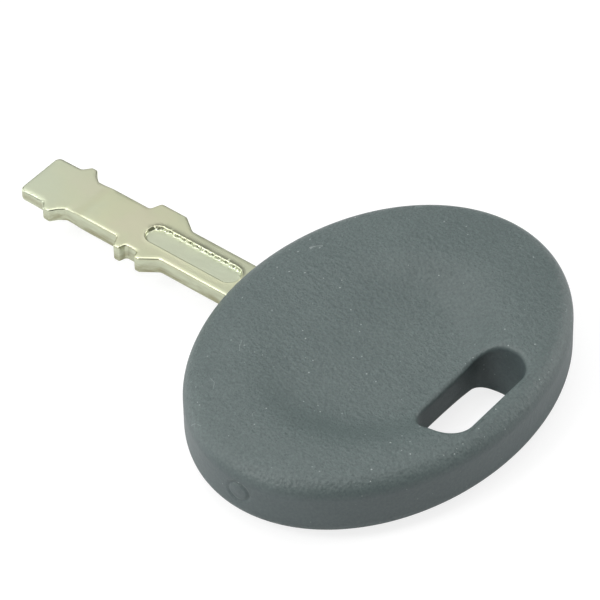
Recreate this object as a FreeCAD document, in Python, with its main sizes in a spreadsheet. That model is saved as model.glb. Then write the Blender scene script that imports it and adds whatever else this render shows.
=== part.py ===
import FreeCAD, Part
import math
import os

os.makedirs("parts", exist_ok=True)
doc = FreeCAD.newDocument("switch_key")
V = FreeCAD.Vector

# Sizes in millimetres. While it is built, X runs along the blade with the tip
# at -X, Y runs across the oval head, and Z goes up through its thickness, with
# 0 at the head's middle. The finished pieces are then moved so that the origin
# is under the middle of the whole key, on the surface that it lies on.
SIZES = [
    # blade
    ("blade_thick", 2.0),
    ("tip_x", -44.75),
    ("tip_half", 3.10),
    ("shaft_half", 2.60),
    ("lug_half", 3.90),
    ("tip_round", 0.55),
    ("tooth_start", -41.45),
    ("tooth_out", -40.75),
    ("tooth_back", -40.00),
    ("tooth_end", -38.70),
    ("lug_start", -31.85),
    ("lug_out", -31.30),
    ("lug_back", -27.95),
    ("lug_end", -26.15),
    ("notch_front", -30.55),
    ("notch_rear", -28.55),
    ("notch_half", 3.05),
    ("coin_x", -37.25),
    ("coin_step", 0.18),
    ("coin_end", 0.30),
    ("edge_soft", 0.18),
    ("groove_front", -29.90),
    ("groove_rear", -17.95),
    ("groove_wide", 2.50),
    ("groove_deep", 0.35),
    ("groove_cut", 2.0),
    ("tang_x", 4.60),
    ("tang_half", 4.50),
    ("tang_step", -12.50),
    ("tang_hole", 1.75),
    ("tang_hole_x", -3.00),
    # head
    ("head_x", 17.04),
    ("head_y", 22.41),
    ("head_tall", 10.0),
    ("crown_x", 22.40),
    ("crown_y", 29.52),
    ("crown_z", 4.46),
    ("dish_x", 16.30),
    ("dish_y", 22.50),
    ("dish_z", 6.00),
    ("dish_mid", 4.10),
    ("dish_up", 8.25),
    ("rest_z", 3.95),
    ("rim_round", 1.00),
    ("crest_round", 4.0),
    ("slot_front", 8.40),
    ("slot_rear", 14.30),
    ("slot_half", 6.50),
    ("slot_round", 2.60),
    ("lip_round", 0.60),
    ("gate_x", 0.20),
    ("gate_z", 0.25),
    ("gate_ring", 1.35),
    ("gate_pip", 0.95),
    ("gate_deep", 0.25),
]
sheet = doc.addObject("Spreadsheet::Sheet", "sizes")
for row, (name, value) in enumerate(SIZES, start=1):
    sheet.set("A%d" % row, name)
    sheet.set("B%d" % row, repr(value))
    sheet.setAlias("B%d" % row, name)
doc.recompute()


def size(name):
    return float(sheet.get(name))


def plane(body, role):
    for item in body.Origin.OriginFeatures:
        if getattr(item, "Role", "") == role:
            return item
    raise RuntimeError("no %s in %s" % (role, body.Name))


def rounded(corners):
    """Lines and arcs of a closed outline whose corners are (x, y, radius)."""
    count = len(corners)
    joins = []
    for i, (x, y, r) in enumerate(corners):
        here = V(x, y, 0)
        back = V(*corners[i - 1][:2], 0) - here
        on = V(*corners[(i + 1) % count][:2], 0) - here
        if r <= 0:
            joins.append((here, None, here))
            continue
        turn = back.getAngle(on)
        run = r / math.tan(turn / 2)
        a = here + V(back).normalize() * run
        b = here + V(on).normalize() * run
        mid = V(back).normalize() + V(on).normalize()
        mid.normalize()
        centre = here + mid * (r / math.sin(turn / 2))
        joins.append((a, centre - mid * r, b))
    edges = []
    for i, (a, top, b) in enumerate(joins):
        if top is not None:
            edges.append(Part.ArcOfCircle(a, top, b))
        nxt = joins[(i + 1) % count][0]
        if b.distanceToPoint(nxt) > 1e-6:
            edges.append(Part.LineSegment(b, nxt))
    return edges


def mirrored(points):
    return [(x, -y, r) for x, y, r in reversed(points)]


def fillet(name, base, radius, numbers):
    made = doc.addObject("Part::Fillet", name)
    made.Base = base
    made.Edges = [(n, radius, radius) for n in numbers]
    doc.recompute()
    return made


def boolean(kind, name, base, tool):
    made = doc.addObject("Part::" + kind, name)
    made.Base, made.Tool = base, tool
    doc.recompute()
    return made


# ---------------------------------------------------------------- blade
# Plan view: tip, small teeth, shaft, lugs (one of them notched) and the hidden
# tang inside the head.
tip_half, shaft, lug = size("tip_half"), size("shaft_half"), size("lug_half")
tip_run = [
    (size("tip_x"), tip_half, size("tip_round")),
    (size("tooth_start"), tip_half, 0.5),
    (size("tooth_out"), lug, 0.35),
    (size("tooth_back"), lug, 0.35),
    (size("tooth_back") + 0.62, 3.10, 0.8),
    (size("tooth_end"), shaft, 0.5),
]
lug_run = [
    (size("lug_start"), shaft, 0.35),
    (size("lug_out"), lug, 0.45),
    (size("lug_back"), lug, 0.60),
    (size("lug_end"), shaft, 0.9),
]
notched_run = [
    (size("lug_start"), shaft, 0.35),
    (size("lug_out"), lug, 0.35),
    (size("notch_front"), lug, 0.22),
    (size("notch_front") + 0.30, size("notch_half"), 0.40),
    (size("notch_rear") - 0.20, size("notch_half"), 0.40),
    (size("notch_rear"), lug, 0.22),
    (size("lug_back"), lug, 0.35),
    (size("lug_end"), shaft, 0.9),
]
tang_run = [
    (size("tang_step"), shaft, 0.8),
    (size("tang_step") + 1.2, size("tang_half"), 0.8),
    (size("tang_x"), size("tang_half"), 1.2),
]
blade_body = doc.addObject("PartDesign::Body", "blade_body")
outline = blade_body.newObject("Sketcher::SketchObject", "blade_outline")
outline.AttachmentSupport = (plane(blade_body, "XY_Plane"), [""])
outline.MapMode = "FlatFace"
outline.addGeometry(
    rounded(tip_run + lug_run + tang_run + mirrored(tip_run + notched_run + tang_run)),
    False,
)
blank = blade_body.newObject("PartDesign::Pad", "blade_blank")
blank.Profile = outline
blank.setExpression("Length", "4 * sizes.blade_thick")
blank.Midplane = True
doc.recompute()
hole = blade_body.newObject("Sketcher::SketchObject", "tang_hole_sketch")
hole.AttachmentSupport = (plane(blade_body, "XY_Plane"), [""])
hole.MapMode = "FlatFace"
hole.addGeometry(
    Part.Circle(V(size("tang_hole_x"), 0, 0), V(0, 0, 1), size("tang_hole")), False
)
pierce = blade_body.newObject("PartDesign::Pocket", "tang_hole")
pierce.Profile = hole
pierce.Type = 1
pierce.Midplane = True
doc.recompute()
blade_body.Tip = pierce
doc.recompute()

# Side view: the tip is squeezed thinner than the shaft, through a soft step.
tip_x, coin_x = size("tip_x"), size("coin_x")
face = size("blade_thick") / 2
upper_side = [
    (tip_x - 2, face - size("coin_end") - 0.03, 0),
    (coin_x - 0.22, face - size("coin_step"), 0.8),
    (coin_x + 0.22, face, 0.8),
    (size("tang_x") + 2, face, 0),
]
side_body = doc.addObject("PartDesign::Body", "side_body")
side = side_body.newObject("Sketcher::SketchObject", "side_outline")
side.AttachmentSupport = (plane(side_body, "XZ_Plane"), [""])
side.MapMode = "FlatFace"
side.addGeometry(rounded(upper_side + mirrored(upper_side)), False)
web = side_body.newObject("PartDesign::Pad", "side_web")
web.Profile = side
web.Length = 20
web.Midplane = True
doc.recompute()
side_body.Tip = web
doc.recompute()
blade_flat = boolean("Common", "blade_flat", blade_body, side_body)


def rim_edge(edge):
    """Edges round the blade's upper and lower faces, but not its hole."""
    mid = edge.valueAt((edge.FirstParameter + edge.LastParameter) / 2)
    box = edge.BoundBox
    if abs(mid.z) < 0.5 or box.ZLength > 0.3:
        return False
    if V(mid.x - size("tang_hole_x"), mid.y, 0).Length < size("tang_hole") + 0.01:
        return False
    across = box.XLength < 0.001 and box.YLength > 4
    return not (across and tip_x + 1 < mid.x < size("tang_step"))


soft = fillet(
    "blade_softened",
    blade_flat,
    size("edge_soft"),
    [n for n, e in enumerate(blade_flat.Shape.Edges, start=1) if rim_edge(e)],
)


def groove(name, base_z):
    """A long round-ended cutter along X."""
    bar = doc.addObject("Part::Box", name + "_bar")
    bar.setExpression("Length", "sizes.groove_rear - sizes.groove_front - sizes.groove_wide")
    bar.setExpression("Width", "sizes.groove_wide")
    bar.setExpression("Height", "sizes.groove_cut")
    r = size("groove_wide") / 2
    bar.Placement.Base = V(size("groove_front") + r, -r, base_z)
    ends = []
    for word, x in (("front", size("groove_front") + r), ("rear", size("groove_rear") - r)):
        end = doc.addObject("Part::Cylinder", "%s_%s" % (name, word))
        end.setExpression("Radius", "sizes.groove_wide / 2")
        end.setExpression("Height", "sizes.groove_cut")
        end.Placement.Base = V(x, 0, base_z)
        ends.append(end)
    joined = doc.addObject("Part::MultiFuse", name)
    joined.Shapes = [bar] + ends
    joined.Refine = True
    doc.recompute()
    return joined


deep, cut = size("groove_deep"), size("groove_cut")
grooved = boolean("Cut", "blade_upper_grooved", soft, groove("upper_groove", face - deep))
blade_cut = boolean("Cut", "blade_grooved", grooved, groove("lower_groove", deep - face - cut))

# ---------------------------------------------------------------- head
head_body = doc.addObject("PartDesign::Body", "head_body")
oval = head_body.newObject("Sketcher::SketchObject", "head_outline")
oval.AttachmentSupport = (plane(head_body, "XY_Plane"), [""])
oval.MapMode = "FlatFace"
oval.addGeometry(
    Part.Ellipse(V(0, size("head_y"), 0), V(size("head_x"), 0, 0), V(0, 0, 0)), False
)
prism = head_body.newObject("PartDesign::Pad", "head_blank")
prism.Profile = oval
prism.setExpression("Length", "sizes.head_tall")
prism.Midplane = True
doc.recompute()
head_body.Tip = prism
doc.recompute()


def lens(name, x, y, z, at):
    item = doc.addObject("Part::Ellipsoid", name)
    item.setExpression("Radius1", "sizes.%s" % z)
    item.setExpression("Radius2", "sizes.%s" % x)
    item.setExpression("Radius3", "sizes.%s" % y)
    item.Placement.Base = at
    doc.recompute()
    return item


crowned = boolean(
    "Common", "head_crowned", head_body, lens("head_crown", "crown_x", "crown_y", "crown_z", V(0, 0, 0))
)
rim = fillet(
    "head_rim",
    crowned,
    size("rim_round"),
    [
        n
        for n, e in enumerate(crowned.Shape.Edges, start=1)
        if e.BoundBox.XLength > 20 and e.BoundBox.YLength > 20 and e.BoundBox.ZLength < 3
    ],
)
last = rim
for sign, word in ((1, "upper"), (-1, "lower")):
    scoop = lens(
        word + "_scoop", "dish_x", "dish_y", "dish_z", V(size("dish_mid"), 0, sign * size("dish_up"))
    )
    last = boolean("Cut", "head_%s_dish" % word, last, scoop)


def crest_edge(edge, sign):
    """The long edge where a dish meets the crown."""
    box = edge.BoundBox
    return sign * box.Center.z > 3 and box.XLength > 18 and 20 < box.YLength < 35


for sign, word in ((1, "upper"), (-1, "lower")):
    last = fillet(
        "head_%s_crest" % word,
        last,
        size("crest_round"),
        [n for n, e in enumerate(last.Shape.Edges, start=1) if crest_edge(e, sign)],
    )

# Key-ring slot with rounded ends and lips.
slot_bar = doc.addObject("Part::Box", "slot_bar")
slot_bar.setExpression("Length", "sizes.slot_rear - sizes.slot_front")
slot_bar.setExpression("Width", "2 * sizes.slot_half")
slot_bar.Height = 12
slot_bar.Placement.Base = V(size("slot_front"), -size("slot_half"), -6)
doc.recompute()
slot_tool = fillet(
    "slot_tool",
    slot_bar,
    size("slot_round"),
    [n for n, e in enumerate(slot_bar.Shape.Edges, start=1) if e.BoundBox.ZLength > 10],
)
last = boolean("Cut", "head_slotted", last, slot_tool)


def lip_edge(edge, sign):
    """Edges where the slot's wall meets the upper or lower face."""
    box = edge.BoundBox
    near = 0.02
    return (
        box.XMin > size("slot_front") - near
        and box.XMax < size("slot_rear") + near
        and box.YMin > -size("slot_half") - near
        and box.YMax < size("slot_half") + near
        and sign * box.Center.z > 2
        and box.ZLength < 1.2
    )


for sign, word in ((1, "upper"), (-1, "lower")):
    last = fillet(
        "head_%s_lip" % word,
        last,
        size("lip_round"),
        [n for n, e in enumerate(last.Shape.Edges, start=1) if lip_edge(e, sign)],
    )

# Narrow flat land on the lower crest, which the key lies on.
land_tool = doc.addObject("Part::Box", "land_tool")
land_tool.Length, land_tool.Width, land_tool.Height = 60, 60, 4
land_tool.Placement.Base = V(-30, -30, -size("rest_z") - 4)
doc.recompute()
landed = boolean("Cut", "head_landed", last, land_tool)

# Small round gate mark on the -Y end of the edge: a sunk ring round a pip.
gate_outer = doc.addObject("Part::Cylinder", "gate_outer")
gate_inner = doc.addObject("Part::Cylinder", "gate_inner")
for item, word in ((gate_outer, "gate_ring"), (gate_inner, "gate_pip")):
    item.setExpression("Radius", "sizes." + word)
    item.Height = 2
    item.Placement = FreeCAD.Placement(
        V(size("gate_x"), size("gate_deep") - size("head_y"), size("gate_z")),
        FreeCAD.Rotation(V(1, 0, 0), 90),
    )
doc.recompute()
gate_ring = boolean("Cut", "gate_mark", gate_outer, gate_inner)
marked = boolean("Cut", "head_marked", landed, gate_ring)

# The head is moulded round the tang, so its cavity is the blade's own shape.
moulded = boolean("Cut", "head_moulded", marked, blade_cut)

# ---------------------------------------------------------------- finish
middle = (size("tip_x") + size("head_x")) / 2
for made, word in ((blade_cut, "blade"), (moulded, "head")):
    done = doc.addObject("Part::Feature", word)
    done.Shape = made.Shape.copy()
    done.Placement = FreeCAD.Placement(V(-middle, 0, size("rest_z")), FreeCAD.Rotation())
doc.recompute()

for item in doc.Objects:
    for bad in ("Invalid", "Error"):
        if bad in item.State:
            raise RuntimeError("%s is %s" % (item.Name, item.State))
for word in ("blade", "head"):
    shape = doc.getObject(word).Shape
    if shape.isNull() or not shape.isValid() or len(shape.Solids) != 1:
        raise RuntimeError("%s has a bad shape" % word)
    shape.exportStep("parts/%s.step" % word)
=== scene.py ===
import math

import bpy
import numpy as np
from mathutils import Matrix, Vector
from mathutils.geometry import delaunay_2d_cdt


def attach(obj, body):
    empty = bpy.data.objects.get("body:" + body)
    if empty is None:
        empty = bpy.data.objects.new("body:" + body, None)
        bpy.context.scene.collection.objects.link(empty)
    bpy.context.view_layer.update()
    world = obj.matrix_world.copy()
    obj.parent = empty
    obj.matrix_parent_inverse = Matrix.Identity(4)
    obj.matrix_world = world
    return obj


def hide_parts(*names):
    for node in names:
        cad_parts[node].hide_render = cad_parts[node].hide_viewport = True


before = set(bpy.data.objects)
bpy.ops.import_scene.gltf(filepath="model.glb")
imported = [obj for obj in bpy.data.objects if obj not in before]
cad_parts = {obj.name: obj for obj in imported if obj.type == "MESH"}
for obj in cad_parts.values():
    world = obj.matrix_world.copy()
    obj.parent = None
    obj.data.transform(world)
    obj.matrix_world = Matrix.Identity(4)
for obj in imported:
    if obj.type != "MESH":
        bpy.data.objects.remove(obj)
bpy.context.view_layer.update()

# Shapes are worked out in millimetres about the middle of the head, with the
# blade's tip at -X, and moved into the row's frame when the mesh is made.
SHIFT = np.array([13.855, 0.0, 3.95])


def to_object(name, verts, faces, material, smooth=True):
    mesh = bpy.data.meshes.new(name)
    pts = (np.asarray(verts, float) + SHIFT) * 0.001
    mesh.from_pydata(pts.tolist(), [], [tuple(int(i) for i in f) for f in faces])
    mesh.validate()
    mesh.update()
    if smooth:
        mesh.polygons.foreach_set("use_smooth", [True] * len(mesh.polygons))
    obj = bpy.data.objects.new(name, mesh)
    bpy.context.scene.collection.objects.link(obj)
    obj.data.materials.append(material)
    return obj


def smoothstep(a, b, x):
    t = np.clip((x - a) / (b - a), 0.0, 1.0)
    return t * t * (3 - 2 * t)


# ------------------------------------------------------------------ materials
def nodes_of(name):
    mat = bpy.data.materials.new(name)
    mat.use_nodes = True
    tree = mat.node_tree
    tree.nodes.clear()
    out = tree.nodes.new("ShaderNodeOutputMaterial")
    bsdf = tree.nodes.new("ShaderNodeBsdfPrincipled")
    tree.links.new(bsdf.outputs["BSDF"], out.inputs["Surface"])
    return mat, tree, bsdf


def add(tree, kind, **values):
    node = tree.nodes.new(kind)
    for key, value in values.items():
        setattr(node, key, value)
    return node


def maths(tree, operation, a, b=None, clamp=False):
    node = add(tree, "ShaderNodeMath", operation=operation, use_clamp=clamp)
    for i, v in enumerate((a, b)):
        if v is None:
            continue
        if isinstance(v, (int, float)):
            node.inputs[i].default_value = v
        else:
            tree.links.new(v, node.inputs[i])
    return node.outputs[0]


def noise(tree, vector, scale, detail=2.0, rough=0.5, stretch=None):
    if stretch is not None:
        m = add(tree, "ShaderNodeMapping")
        m.inputs["Rotation"].default_value = stretch[0]
        m.inputs["Scale"].default_value = stretch[1]
        tree.links.new(vector, m.inputs["Vector"])
        vector = m.outputs["Vector"]
    n = add(tree, "ShaderNodeTexNoise")
    n.inputs["Scale"].default_value = scale
    n.inputs["Detail"].default_value = detail
    n.inputs["Roughness"].default_value = rough
    tree.links.new(vector, n.inputs["Vector"])
    return n.outputs[0]


def ramp(tree, value, stops, interpolation="LINEAR"):
    node = add(tree, "ShaderNodeValToRGB")
    node.color_ramp.interpolation = interpolation
    while len(node.color_ramp.elements) < len(stops):
        node.color_ramp.elements.new(0.5)
    for e, (pos, col) in zip(node.color_ramp.elements, stops):
        e.position = pos
        e.color = (*col, 1.0) if len(col) == 3 else col
    tree.links.new(value, node.inputs[0])
    return node.outputs[0]


def mixed(tree, factor, a, b, blend="MIX"):
    node = add(tree, "ShaderNodeMix", data_type="RGBA", blend_type=blend)
    for socket, v in ((node.inputs[0], factor), (node.inputs[6], a), (node.inputs[7], b)):
        if isinstance(v, (int, float)):
            socket.default_value = v
        elif isinstance(v, tuple):
            socket.default_value = (*v, 1.0)
        else:
            tree.links.new(v, socket)
    return node.outputs[2]


def plastic():
    mat, tree, bsdf = nodes_of("slate_plastic")
    co = add(tree, "ShaderNodeTexCoord").outputs["Object"]
    # slow, faint changes of tone over the moulding
    tone = noise(tree, co, 130.0, 3.0, 0.5)
    base = ramp(tree, tone, [(0.30, (0.102, 0.134, 0.130)), (0.70, (0.117, 0.151, 0.146))])
    # fine grain in tone
    fine = noise(tree, co, 3900.0, 3.0, 0.6)
    base = mixed(
        tree, ramp(tree, fine, [(0.32, (0.0,) * 3), (0.72, (0.56,) * 3)]), base, (0.040, 0.053, 0.054)
    )
    # tiny pale specks of dust
    vor = add(tree, "ShaderNodeTexVoronoi", feature="F1")
    vor.inputs["Scale"].default_value = 1300.0
    tree.links.new(co, vor.inputs["Vector"])
    pick = add(tree, "ShaderNodeSeparateColor")
    tree.links.new(vor.outputs["Color"], pick.inputs[0])
    rare = maths(tree, "GREATER_THAN", pick.outputs[0], 0.36)
    size = maths(tree, "MULTIPLY", pick.outputs[1], 0.12)
    dot = maths(tree, "LESS_THAN", vor.outputs["Distance"], size)
    speck = maths(tree, "MULTIPLY", dot, rare)
    # a few short curled fibres
    thread = maths(tree, "ABSOLUTE", maths(tree, "SUBTRACT", noise(tree, co, 700.0, 0.0, 0.5), 0.5))
    thread = maths(tree, "LESS_THAN", thread, 0.012)
    patch = add(tree, "ShaderNodeTexVoronoi", feature="F1")
    patch.inputs["Scale"].default_value = 170.0
    tree.links.new(co, patch.inputs["Vector"])
    near = maths(tree, "LESS_THAN", patch.outputs["Distance"], 0.13)
    fibre = maths(tree, "MULTIPLY", thread, near)
    dust = maths(tree, "MAXIMUM", speck, maths(tree, "MULTIPLY", fibre, 0.6))
    base = mixed(tree, maths(tree, "MULTIPLY", dust, 0.62), base, (0.42, 0.46, 0.45))
    # painted shade: the upright walls are painted a little darker than the faces; they are also smoother
    # than the faces
    facing = add(tree, "ShaderNodeSeparateXYZ")
    tree.links.new(add(tree, "ShaderNodeTexCoord").outputs["Normal"], facing.inputs[0])
    up = maths(tree, "ABSOLUTE", facing.outputs["Z"])
    wall_painted_shade = ramp(tree, up, [(0.10, (0.52,) * 3), (0.70, (0.0,) * 3)])
    base = mixed(tree, wall_painted_shade, base, (0.060, 0.080, 0.086))
    tree.links.new(base, bsdf.inputs["Base Color"])
    bsdf.inputs["Roughness"].default_value = 0.50
    bsdf.inputs["IOR"].default_value = 1.5
    # leather-like spark-eroded grain
    g1 = noise(tree, co, 2500.0, 3.0, 0.55)
    g2 = noise(tree, co, 1300.0, 2.0, 0.5, ((0.0, 0.0, 0.72), (0.8, 1.2, 1.0)))
    h = maths(tree, "ADD", g1, maths(tree, "MULTIPLY", g2, 0.55))
    bump = add(tree, "ShaderNodeBump")
    bump.inputs["Distance"].default_value = 0.00021
    grain = ramp(tree, up, [(0.35, (0.14,) * 3), (0.90, (0.80,) * 3)])
    tree.links.new(grain, bump.inputs["Strength"])
    tree.links.new(h, bump.inputs["Height"])
    tree.links.new(bump.outputs["Normal"], bsdf.inputs["Normal"])
    return mat


def plated():
    mat, tree, bsdf = nodes_of("nickel_plate")
    co = add(tree, "ShaderNodeTexCoord").outputs["Object"]
    tone = noise(tree, co, 150.0, 3.0, 0.55)
    base = ramp(
        tree,
        tone,
        [(0.34, (0.585, 0.618, 0.452)), (0.50, (0.612, 0.630, 0.440)), (0.66, (0.630, 0.622, 0.455))],
    )
    # painted reflection: the sunk groove and the thinned tip are painted a little greyer, standing in for
    # their different reflection
    split = add(tree, "ShaderNodeSeparateXYZ")
    tree.links.new(co, split.inputs[0])
    high = maths(tree, "MULTIPLY", split.outputs["Z"], 100.0)
    sunk_painted_reflection = ramp(tree, high, [(0.455, (0.75,) * 3), (0.490, (0.0,) * 3)])
    base = mixed(tree, sunk_painted_reflection, base, (0.590, 0.640, 0.505))
    # the sheared wall is browner and streaked towards its lower edge
    facing = add(tree, "ShaderNodeSeparateXYZ")
    tree.links.new(add(tree, "ShaderNodeTexCoord").outputs["Normal"], facing.inputs[0])
    wall = ramp(tree, maths(tree, "ABSOLUTE", facing.outputs["Z"]), [(0.15, (1.0,) * 3), (0.6, (0.0,) * 3)])
    lower = ramp(tree, high, [(0.345, (1.0,) * 3), (0.455, (0.35,) * 3)])
    streak = noise(tree, co, 900.0, 3.0, 0.6, ((0.0, 0.0, 0.0), (0.35, 0.8, 1.8)))
    streak = ramp(tree, streak, [(0.35, (0.30,) * 3), (0.62, (0.90,) * 3)])
    sheared = maths(tree, "MULTIPLY", maths(tree, "MULTIPLY", wall, lower), streak)
    base = mixed(tree, sheared, base, (0.270, 0.255, 0.155))
    tree.links.new(base, bsdf.inputs["Base Color"])
    bsdf.inputs["Metallic"].default_value = 1.0
    rough = noise(tree, co, 500.0, 3.0, 0.5)
    tree.links.new(
        ramp(tree, rough, [(0.3, (0.34,) * 3), (0.7, (0.42,) * 3)]), bsdf.inputs["Roughness"]
    )
    g1 = noise(tree, co, 1500.0, 3.0, 0.5)
    bump = add(tree, "ShaderNodeBump")
    bump.inputs["Strength"].default_value = 0.3
    bump.inputs["Distance"].default_value = 0.00002
    tree.links.new(g1, bump.inputs["Height"])
    tree.links.new(bump.outputs["Normal"], bsdf.inputs["Normal"])
    return mat


# ------------------------------------------------------------------ head
HEAD_X, HEAD_Y = 17.04, 22.41
# the upper face: height over its middle and at the rim, and how late it falls
TOP, EDGE, LATE = 4.87, 3.08, 2.6
# the thumb scoop: depth, middle, reach to each side, and how steep its wall is
DISH = (3.00, 0.2, -1.2, 10.6, 10.9, 12.1, 9.5)
# the scoop runs out towards the blade: where, how gradually and how much
FADE = (-2.5, 2.90, 0.82)
RIM_R, RIM_H, LIP_R = 1.80, 1.50, 0.60
REST = 3.95
SLOT = (8.40, 14.30, 6.50, 2.60)
GATE = (0.20, 0.25, 1.15, 0.20)


def upper(x, y):
    """Height of the head's upper face over its middle, with its rolled rim."""
    far = np.sqrt((x / HEAD_X) ** 2 + (y / HEAD_Y) ** 2)
    slope = np.hypot(x / HEAD_X**2, y / HEAD_Y**2) / np.maximum(far, 1e-6)
    inward = (1 - far) / np.maximum(slope, 1e-6)
    deep, mx, my, left, right, side, steep = DISH
    dx = x - mx
    u = np.sqrt(np.where(dx < 0, dx / left, dx / right) ** 2 + ((y - my) / side) ** 2)
    depth = deep * (1 - FADE[2] / (1 + np.exp((x - FADE[0]) / FADE[1])))
    z = TOP - (TOP - EDGE) * far**LATE - depth / (1 + u**steep)
    return z - RIM_H / RIM_R * drop(inward, RIM_R)


def slot_distance(x, y):
    x0, x1, half, r = SLOT
    cx, hx = (x0 + x1) / 2, (x1 - x0) / 2
    qx = np.abs(x - cx) - (hx - r)
    qy = np.abs(y) - (half - r)
    out = np.hypot(np.maximum(qx, 0), np.maximum(qy, 0))
    return out + np.minimum(np.maximum(qx, qy), 0) - r


def drop(depth, r):
    """How far a rounded edge of radius r falls at this distance in from the wall."""
    d = np.clip(depth, 0, r)
    return r - np.sqrt(np.clip(r * r - (r - d) ** 2, 0, None))


def head_mesh():
    n = 430
    t = np.linspace(0, 2 * np.pi, 40001)
    x, y = HEAD_X * np.cos(t), HEAD_Y * np.sin(t)
    ds = np.hypot(np.diff(x), np.diff(y))
    near = np.where(y[:-1] < 0, np.exp(-(((x[:-1] - GATE[0]) / 1.7) ** 2)), 0.0)
    s = np.concatenate([[0], np.cumsum(ds * (1 + 3.4 * near))])
    t = np.interp(np.arange(n) / n * s[-1], s, t)
    ox, oy = HEAD_X * np.cos(t), HEAD_Y * np.sin(t)
    nx, ny = np.cos(t) / HEAD_X, np.sin(t) / HEAD_Y
    nn = np.hypot(nx, ny)
    nx, ny = nx / nn, ny / nn
    # matching points on the slot's wall, along lines from the slot's middle
    cx = (SLOT[0] + SLOT[1]) / 2
    lo, hi = np.zeros(n), np.ones(n)
    for _ in range(50):
        mid = (lo + hi) / 2
        outside = slot_distance(cx + (ox - cx) * mid, oy * mid) > 0
        hi, lo = np.where(outside, mid, hi), np.where(outside, lo, mid)
    sx, sy = cx + (ox - cx) * lo, oy * lo
    e = 1e-4
    gx = (slot_distance(sx + e, sy) - slot_distance(sx - e, sy)) / (2 * e)
    gy = (slot_distance(sx, sy + e) - slot_distance(sx, sy - e)) / (2 * e)
    gn = np.hypot(gx, gy)
    gx, gy = gx / gn, gy / gn

    rings = []  # (x, y, z) from the slot's wall over the upper face to the rim
    lip = LIP_R * (1 - np.cos(np.linspace(0, np.pi / 2, 8)))
    rim = RIM_R * (1 - np.cos(np.linspace(0, np.pi / 2, 18)))
    for d in lip:
        px, py = sx + gx * d, sy + gy * d
        rings.append((px, py, upper(px, py) - drop(d, LIP_R)))
    ax, ay = sx + gx * LIP_R, sy + gy * LIP_R
    bx, by = ox - nx * rim[-1], oy - ny * rim[-1]
    for f in np.linspace(0, 1, 54)[1:-1]:
        px, py = ax + (bx - ax) * f, ay + (by - ay) * f
        rings.append((px, py, upper(px, py)))
    for d in rim[::-1]:
        px, py = ox - nx * d, oy - ny * d
        rings.append((px, py, upper(px, py) - drop(slot_distance(px, py), LIP_R)))
    top = [np.stack(r, 1) for r in rings]
    # wall, with the gate mark pressed into it
    edge = top[-1][:, 2]
    arc = np.where(oy < 0, ox - GATE[0], 99.0)
    wall = []
    for f in np.linspace(1, -1, 50)[1:-1]:
        z = edge * f
        q = np.hypot(arc, z - GATE[1])
        turn = np.arctan2(z - GATE[1], arc)
        worn = 0.75 + 0.25 * np.sin(turn + 0.6) + 0.18 * np.sin(3 * turn + 2.0)
        ring = np.exp(-(((q - GATE[2] - 0.07 * np.sin(2 * turn + 1.0)) / 0.20) ** 2))
        dent = GATE[3] * worn * ring - 0.05 * np.exp(-((q / 0.45) ** 2))
        wall.append(np.stack([ox - nx * dent, oy - ny * dent, z], 1))
    low = []
    for ring in reversed(top):
        r = ring.copy()
        r[:, 2] = -np.minimum(ring[:, 2], REST)
        low.append(r)
    inner = []
    first = top[0][:, 2]
    for f in np.linspace(-1, 1, 14)[1:-1]:
        inner.append(np.stack([sx, sy, first * f], 1))
    loops = top + wall + low + inner
    verts = np.concatenate(loops)
    k = len(loops)
    i = np.arange(n)
    j = (i + 1) % n
    faces = []
    for a in range(k):
        b = (a + 1) % k
        faces.append(np.stack([a * n + i, b * n + i, b * n + j, a * n + j], 1))
    return verts, np.concatenate(faces)


# ------------------------------------------------------------------ blade
def outline(corners, step=0.10):
    """Points round a closed outline whose corners are (x, y, radius)."""
    count = len(corners)
    joins = []
    for i, (x, y, r) in enumerate(corners):
        here = np.array([x, y])
        back = np.array(corners[i - 1][:2]) - here
        on = np.array(corners[(i + 1) % count][:2]) - here
        back, on = back / np.linalg.norm(back), on / np.linalg.norm(on)
        turn = math.acos(np.clip(back @ on, -1, 1))
        run = r / math.tan(turn / 2)
        mid = (back + on) / np.linalg.norm(back + on)
        centre = here + mid * (r / math.sin(turn / 2))
        a, b = here + back * run, here + on * run
        a0 = math.atan2(*(a - centre)[::-1])
        sweep = math.atan2(*(b - centre)[::-1]) - a0
        sweep = (sweep + math.pi) % (2 * math.pi) - math.pi
        m = max(3, int(abs(sweep) * r / 0.05))
        joins.append([centre + r * np.array([math.cos(a0 + sweep * f), math.sin(a0 + sweep * f)]) for f in np.linspace(0, 1, m + 1)])
    pts = []
    for i, arc in enumerate(joins):
        pts.extend(arc)
        nxt = joins[(i + 1) % count][0]
        gap = np.linalg.norm(nxt - arc[-1])
        if gap < 1e-5:
            pts.pop()
            continue
        m = int(gap / step)
        pts.extend(arc[-1] + (nxt - arc[-1]) * f for f in np.linspace(0, 1, m + 2)[1:-1])
    return np.array(pts)


def mirrored(points):
    return [(x, -y, r) for x, y, r in reversed(points)]


TIP_X, COIN_X = -44.75, -37.25
GROOVE = (-29.90, -17.95, 1.25, 0.35)
tip_run = [(TIP_X, 3.12, 0.75), (-41.45, 3.10, 0.5), (-40.75, 3.90, 0.35), (-40.00, 3.90, 0.35), (-39.38, 3.10, 0.8), (-38.70, 2.60, 0.5)]
lug_run = [(-31.85, 2.60, 0.35), (-31.30, 3.90, 0.45), (-27.95, 3.90, 0.60), (-26.15, 2.60, 0.9)]
notched_run = [(-31.85, 2.60, 0.35), (-31.30, 3.90, 0.35), (-30.55, 3.90, 0.22), (-30.25, 3.05, 0.40), (-28.75, 3.05, 0.40), (-28.55, 3.90, 0.22), (-27.95, 3.90, 0.35), (-26.15, 2.60, 0.9)]
tang_run = [(-12.50, 2.60, 0.8), (-11.30, 4.50, 0.8), (4.60, 4.50, 1.2)]


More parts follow.
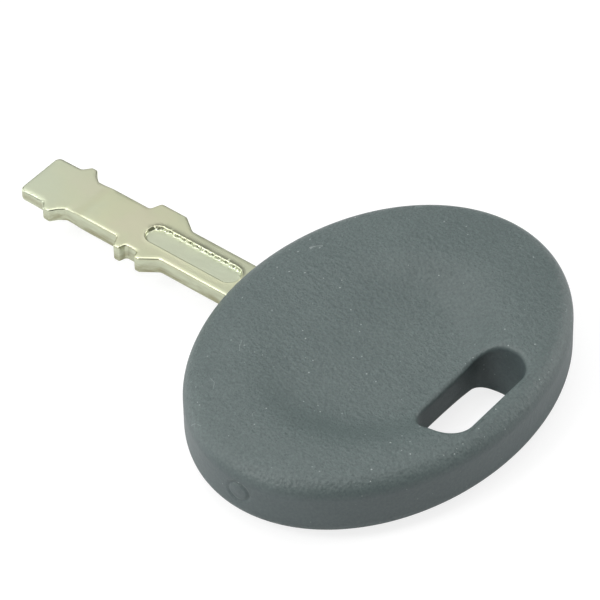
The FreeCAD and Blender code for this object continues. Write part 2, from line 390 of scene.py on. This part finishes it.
def thickness(x):
    """Half the blade's thickness: thinner from a soft step to the tip."""
    lean = 0.88 - np.clip(COIN_X - x, 0, None) / (COIN_X - TIP_X) * 0.16
    f = smoothstep(COIN_X - 0.75, COIN_X + 0.75, x)
    return lean * (1 - f) + f


def groove_distance(x, y):
    x0, x1, r, _ = GROOVE
    px = np.clip(x, x0 + r, x1 - r)
    return np.hypot(x - px, y) - r


def blade_mesh():
    rng = np.random.default_rng(7)
    line = outline(tip_run + lug_run + tang_run + mirrored(tip_run + notched_run + tang_run))
    # the outline runs clockwise or not; make it anticlockwise
    area = 0.5 * np.sum(line[:, 0] * np.roll(line[:, 1], -1) - np.roll(line[:, 0], -1) * line[:, 1])
    if area < 0:
        line = line[::-1]
    n = len(line)
    tan = np.roll(line, -1, 0) - np.roll(line, 1, 0)
    tan /= np.linalg.norm(tan, axis=1)[:, None]
    out = np.stack([tan[:, 1], -tan[:, 0]], 1)
    soft = 0.21 + 0.17 * (1 - smoothstep(-42.5, -39.6, line[:, 0]))
    soft = soft * (1 - 0.35 * np.clip(out[:, 1], 0, 1))
    steps = 1 - np.cos(np.linspace(0, np.pi / 2, 7))
    rings = [line - out * (soft * s)[:, None] for s in steps]
    falls = [soft - np.sqrt(np.clip(soft**2 - (soft * (1 - s)) ** 2, 0, None)) for s in steps]

    # flat of the face: constrained triangles inside the innermost ring
    inner = rings[-1]
    pts = [Vector(p) for p in inner]
    edges = [(i, (i + 1) % n) for i in range(n)]
    gx = np.arange(TIP_X + 0.4, 4.3, 0.30)
    gy = np.arange(-3.6, 3.61, 0.30)
    grid = np.array([(x, y) for x in gx for y in gy if x < -16.0])
    far = np.array([(x, y) for x in np.arange(-15.5, 4.3, 1.2) for y in np.arange(-3.6, 3.61, 1.2)])
    grid = np.concatenate([grid, far])

    def inside(p):
        x, y = p
        x1, y1 = inner[:, 0], inner[:, 1]
        x2, y2 = np.roll(x1, -1), np.roll(y1, -1)
        cross = ((y1 > y) != (y2 > y)) & (x < (x2 - x1) * (y - y1) / (y2 - y1 + 1e-12) + x1)
        near = np.min(np.hypot(x1 - x, y1 - y))
        return cross.sum() % 2 == 1 and near > 0.10

    grid = np.array([p for p in grid if inside(p) and abs(groove_distance(p[0], p[1])) > 0.28])
    pts += [Vector(p) for p in grid]
    # rings round the groove's edge
    g0, g1, gr, _ = GROOVE
    for d in (0.16, 0.09, 0.04, 0.0, -0.04, -0.08, -0.13, -0.20):
        r = gr + d
        ring = []
        m = 26
        for f in np.linspace(-np.pi / 2, np.pi / 2, m):
            ring.append((g1 - gr + r * math.cos(f), r * math.sin(f)))
        for f in np.linspace(0, 1, 122)[1:-1]:
            ring.append((g1 - gr + (g0 - g1 + 2 * gr) * f, r))
        for f in np.linspace(np.pi / 2, 3 * np.pi / 2, m):
            ring.append((g0 + gr + r * math.cos(f), r * math.sin(f)))
        for f in np.linspace(0, 1, 122)[1:-1]:
            ring.append((g0 + gr + (g1 - g0 - 2 * gr) * f, -r))
        at = len(pts)
        pts += [Vector(p) for p in ring]
        edges += [(at + i, at + (i + 1) % len(ring)) for i in range(len(ring))]
    # lines across the step
    for x in np.linspace(COIN_X - 0.8, COIN_X + 0.8, 11):
        for y in np.arange(-2.3, 2.31, 0.2):
            pts.append(Vector((x, y)))
    vs, _, fs, orig, _, _ = delaunay_2d_cdt(pts, edges, [], 0, 1e-6, True)
    flat = np.array([(v.x, v.y) for v in vs])
    x, y = flat[:, 0], flat[:, 1]
    z = thickness(x)
    sd = groove_distance(x, y)
    # the far wall is torn and uneven where the metal was squeezed
    far_side = (y > 0.6) & (np.abs(sd) < 0.22)
    beat = np.sin(2 * np.pi * x / 0.92 + 0.9 * np.sin(1.7 * x))
    ragged = np.where(far_side, 0.07 * beat + rng.normal(0, 0.022, len(x)), 0.0)
    lip = np.where(y > 0, 0.045, 0.010) * np.exp(-(((sd - 0.10) / 0.08) ** 2))
    torn = np.where(far_side, 0.13 * np.clip(beat, 0, 1) * np.exp(-(((sd + 0.10) / 0.08) ** 2)), 0.0)
    z = z - GROOVE[3] * smoothstep(0.03, -0.13, sd + ragged) + lip - torn
    verts, faces = [], []
    top0 = 0
    verts.append(np.stack([x, y, z], 1))
    nf = len(flat)
    # index of each point of the inner ring in the triangulation
    where = {}
    for new, olds in enumerate(orig):
        for o in olds:
            if o < n:
                where[o] = new
    # keep the triangles whose middles are inside the outline
    tris = np.array([f for f in fs if len(f) == 3])
    mid = flat[tris].mean(1)
    keep = np.zeros(len(mid), bool)
    x1, y1 = inner[:, 0], inner[:, 1]
    x2, y2 = np.roll(x1, -1), np.roll(y1, -1)
    for i in range(n):
        crosses = (y1[i] > mid[:, 1]) != (y2[i] > mid[:, 1])
        at = (x2[i] - x1[i]) * (mid[:, 1] - y1[i]) / (y2[i] - y1[i] + 1e-12) + x1[i]
        keep ^= crosses & (mid[:, 0] < at)
    tris = tris[keep]
    a = flat[tris]
    sign = np.cross(a[:, 1] - a[:, 0], a[:, 2] - a[:, 0])
    tris = np.where(sign[:, None] > 0, tris, tris[:, ::-1])
    faces += [tuple(f) for f in tris]
    # rounded rim, wall, rounded rim, lower face
    inner_index = np.array([where[i] for i in range(n)])
    count = nf
    loops = [inner_index]
    up = []
    for ring, fall in list(zip(rings, falls))[-2::-1]:
        zz = thickness(ring[:, 0]) - fall
        up.append(np.stack([ring[:, 0], ring[:, 1], zz], 1))
    last = up[-1][:, 2]
    walls = [np.stack([line[:, 0], line[:, 1], last * f], 1) for f in (0.6, 0.2, -0.2, -0.6)]
    down = [np.stack([r[:, 0], r[:, 1], -r[:, 2]], 1) for r in reversed(up)]
    for ring in up + walls + down:
        verts.append(ring)
        loops.append(np.arange(count, count + n))
        count += n
    low = np.stack([x, y, -z], 1)
    verts.append(low)
    loops.append(inner_index + count)
    faces += [tuple(f) for f in (tris[:, ::-1] + count)]
    i = np.arange(n)
    j = (i + 1) % n
    for a, b in zip(loops, loops[1:]):
        faces += [tuple(q) for q in np.stack([a[i], b[i], b[j], a[j]], 1)]
    return np.concatenate(verts), faces


slate, nickel = plastic(), plated()
verts, faces = head_mesh()
head = to_object("head_moulding", verts, faces, slate)
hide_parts("head")
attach(head, "root")
verts, faces = blade_mesh()
blade = to_object("blade_stamping", verts, faces, nickel)
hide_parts("blade")
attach(blade, "root")

# ------------------------------------------------------------------ stage
floor_mat, tree, bsdf = nodes_of("pale_floor")
bsdf.inputs["Base Color"].default_value = (0.94, 0.94, 0.94, 1)
bsdf.inputs["Roughness"].default_value = 0.9
# The camera sees a near white floor with a faint shadow; the key is lit as by the plain floor.
seen = tree.nodes.new("ShaderNodeLightPath")
share = add(tree, "ShaderNodeMath", operation="MULTIPLY")
share.inputs[1].default_value = 0.75
glow = tree.nodes.new("ShaderNodeEmission")
glow.inputs["Color"].default_value = (1.0, 1.0, 1.0, 1)
glow.inputs["Strength"].default_value = 1.1
mix = tree.nodes.new("ShaderNodeMixShader")
tree.links.new(seen.outputs["Is Camera Ray"], share.inputs[0])
tree.links.new(share.outputs[0], mix.inputs[0])
tree.links.new(bsdf.outputs["BSDF"], mix.inputs[1])
tree.links.new(glow.outputs["Emission"], mix.inputs[2])
tree.links.new(mix.outputs[0], tree.nodes["Material Output"].inputs["Surface"])
floor_mat.cycles.emission_sampling = "NONE"
mesh = bpy.data.meshes.new("floor")
mesh.from_pydata([(-3, -3, 0), (3, -3, 0), (3, 3, 0), (-3, 3, 0)], [], [(0, 1, 2, 3)])
floor = bpy.data.objects.new("floor", mesh)
floor.data.materials.append(floor_mat)
bpy.context.scene.collection.objects.link(floor)

world = bpy.data.worlds.new("studio")
bpy.context.scene.world = world
world.use_nodes = True
world.node_tree.nodes["Background"].inputs[0].default_value = (1.0, 1.0, 1.0, 1)
world.node_tree.nodes["Background"].inputs[1].default_value = 0.02


def area(name, azimuth, elevation, distance, size, power):
    """A soft light at this azimuth and elevation from the key, turned towards it."""
    lamp = bpy.data.lights.new(name, "AREA")
    lamp.shape = "SQUARE"
    lamp.size = size
    lamp.energy = power
    obj = bpy.data.objects.new(name, lamp)
    a, e = math.radians(azimuth), math.radians(elevation)
    way = Vector((math.cos(a) * math.cos(e), math.sin(a) * math.cos(e), math.sin(e)))
    obj.location = way * distance
    obj.rotation_euler = way.to_track_quat("Z", "Y").to_euler()
    bpy.context.scene.collection.objects.link(obj)
    return obj


area("top_light", 0, 88, 1.0, 0.9, 4.5)
area("back_light", 165, 45, 1.0, 0.9, 3.1)
area("back_top_light", 115, 72, 1.0, 0.5, 1.2)
area("left_light", -157, 9, 1.0, 0.4, 2.2)
area("front_left_light", -101, 20, 1.0, 0.5, 0.7)
area("right_light", 60, 22, 1.0, 0.6, 4.9)
area("high_left_light", -116, 48, 1.0, 0.4, 5.3)

# ------------------------------------------------------------------ camera
AZ, EL, ROLL = math.radians(39.699), math.radians(43.789), math.radians(-1.476)
DIST, TX, TY, FOCAL = 429.207, 7.882, 6.186, 4345.45
right = Vector((math.cos(AZ), math.sin(AZ), 0))
back = Vector((math.sin(AZ) * math.cos(EL), -math.cos(AZ) * math.cos(EL), math.sin(EL)))
down = -(back.cross(right))
r2 = right * math.cos(ROLL) - down * math.sin(ROLL)
d2 = right * math.sin(ROLL) + down * math.cos(ROLL)
place = -(r2 * TX + d2 * TY) + back * DIST
place = (place + Vector(SHIFT)) * 0.001
cam = bpy.data.objects.new("camera", bpy.data.cameras.new("camera"))
bpy.context.scene.collection.objects.link(cam)
cam.data.sensor_width = 36.0
cam.data.lens = FOCAL / 600 * 36.0
cam.data.clip_start, cam.data.clip_end = 0.01, 20
cam.matrix_world = Matrix(
    (
        (r2.x, -d2.x, back.x, place.x),
        (r2.y, -d2.y, back.y, place.y),
        (r2.z, -d2.z, back.z, place.z),
        (0, 0, 0, 1),
    )
)
bpy.context.scene.camera = cam
bpy.context.scene.view_settings.view_transform = "Standard"
